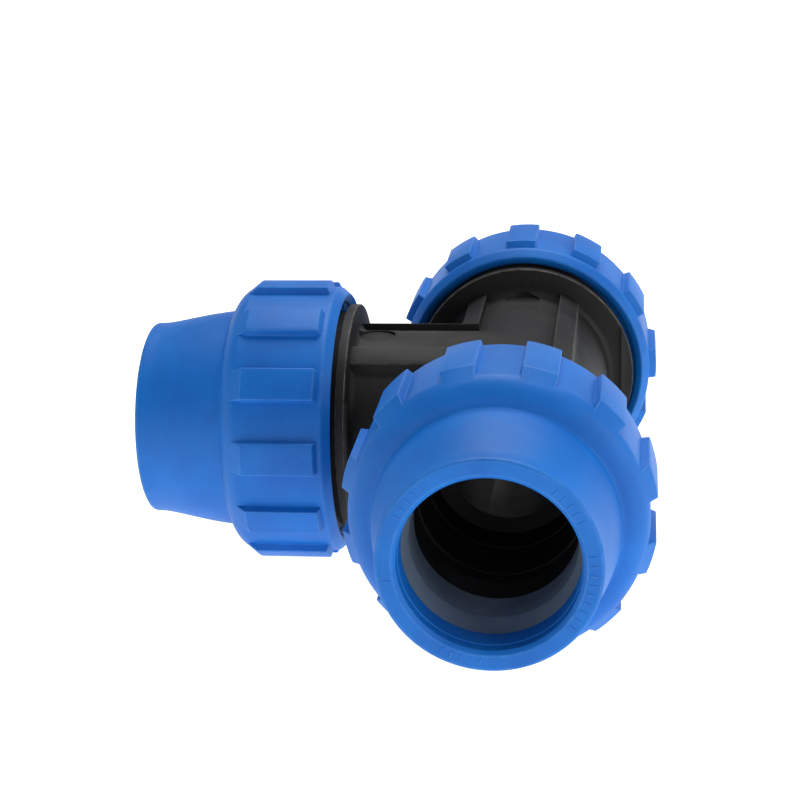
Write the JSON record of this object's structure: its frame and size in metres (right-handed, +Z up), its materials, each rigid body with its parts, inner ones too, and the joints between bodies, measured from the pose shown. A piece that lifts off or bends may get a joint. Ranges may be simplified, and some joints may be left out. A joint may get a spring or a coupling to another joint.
{
  "type": "pipe compression tee fitting",
  "caption": "Equal compression tee for polyethylene irrigation pipe: ribbed screw nuts clamp split grip rings and seals onto a tee body.",
  "frame": {"origin": "where the centre lines of the three arms cross", "axes": "+Y and -Y along the run's two arms, -X along the branch, +Z up, with all three arms level"},
  "size_m": [0.1368, 0.1934, 0.0758],
  "materials": {
    "pp_black": "satin moulded black polypropylene",
    "pp_blue": "satin moulded blue polypropylene",
    "pom_grey": "smooth grey-blue acetal",
    "nbr": "black nitrile rubber"
  },
  "bodies": {
    "body": {"tee_body": "pp_black", "o_ring_front": "nbr", "o_ring_back": "nbr", "o_ring_branch": "nbr"},
    "clamp_front": {"thrust_bush_front": "pp_black", "grip_ring_front": "pom_grey"},
    "nut_front": {"nut_front": "pp_blue"},
    "clamp_back": {"thrust_bush_back": "pp_black", "grip_ring_back": "pom_grey"},
    "nut_back": {"nut_back": "pp_blue"},
    "clamp_branch": {"thrust_bush_branch": "pp_black", "grip_ring_branch": "pom_grey"},
    "nut_branch": {"nut_branch": "pp_blue"}
  },
  "joints": [
    {"name": "clamp_front_slide", "type": "slide", "parent": "body", "child": "clamp_front", "axis": [0, -1, 0], "range_m": [0, 0.0125]},
    {"name": "nut_front_turn", "type": "hinge", "parent": "clamp_front", "child": "nut_front", "pos_m": [0, -0.04, 0], "axis": [0, -1, 0], "range_deg": [0, 900]},
    {"name": "clamp_back_slide", "type": "slide", "parent": "body", "child": "clamp_back", "axis": [0, 1, 0], "range_m": [0, 0.0125]},
    {"name": "nut_back_turn", "type": "hinge", "parent": "clamp_back", "child": "nut_back", "pos_m": [0, 0.04, 0], "axis": [0, 1, 0], "range_deg": [0, 900]},
    {"name": "clamp_branch_slide", "type": "slide", "parent": "body", "child": "clamp_branch", "axis": [-1, 0, 0], "range_m": [0, 0.0125]},
    {"name": "nut_branch_turn", "type": "hinge", "parent": "clamp_branch", "child": "nut_branch", "pos_m": [-0.0422, 0, 0], "axis": [-1, 0, 0], "range_deg": [0, 900]}
  ],
  "couplings": [
    {"joint": "clamp_front_slide", "follows": "nut_front_turn", "m_per_rad": 0.00079577},
    {"joint": "clamp_back_slide", "follows": "nut_back_turn", "m_per_rad": 0.00079577},
    {"joint": "clamp_branch_slide", "follows": "nut_branch_turn", "m_per_rad": 0.00079577}
  ]
}
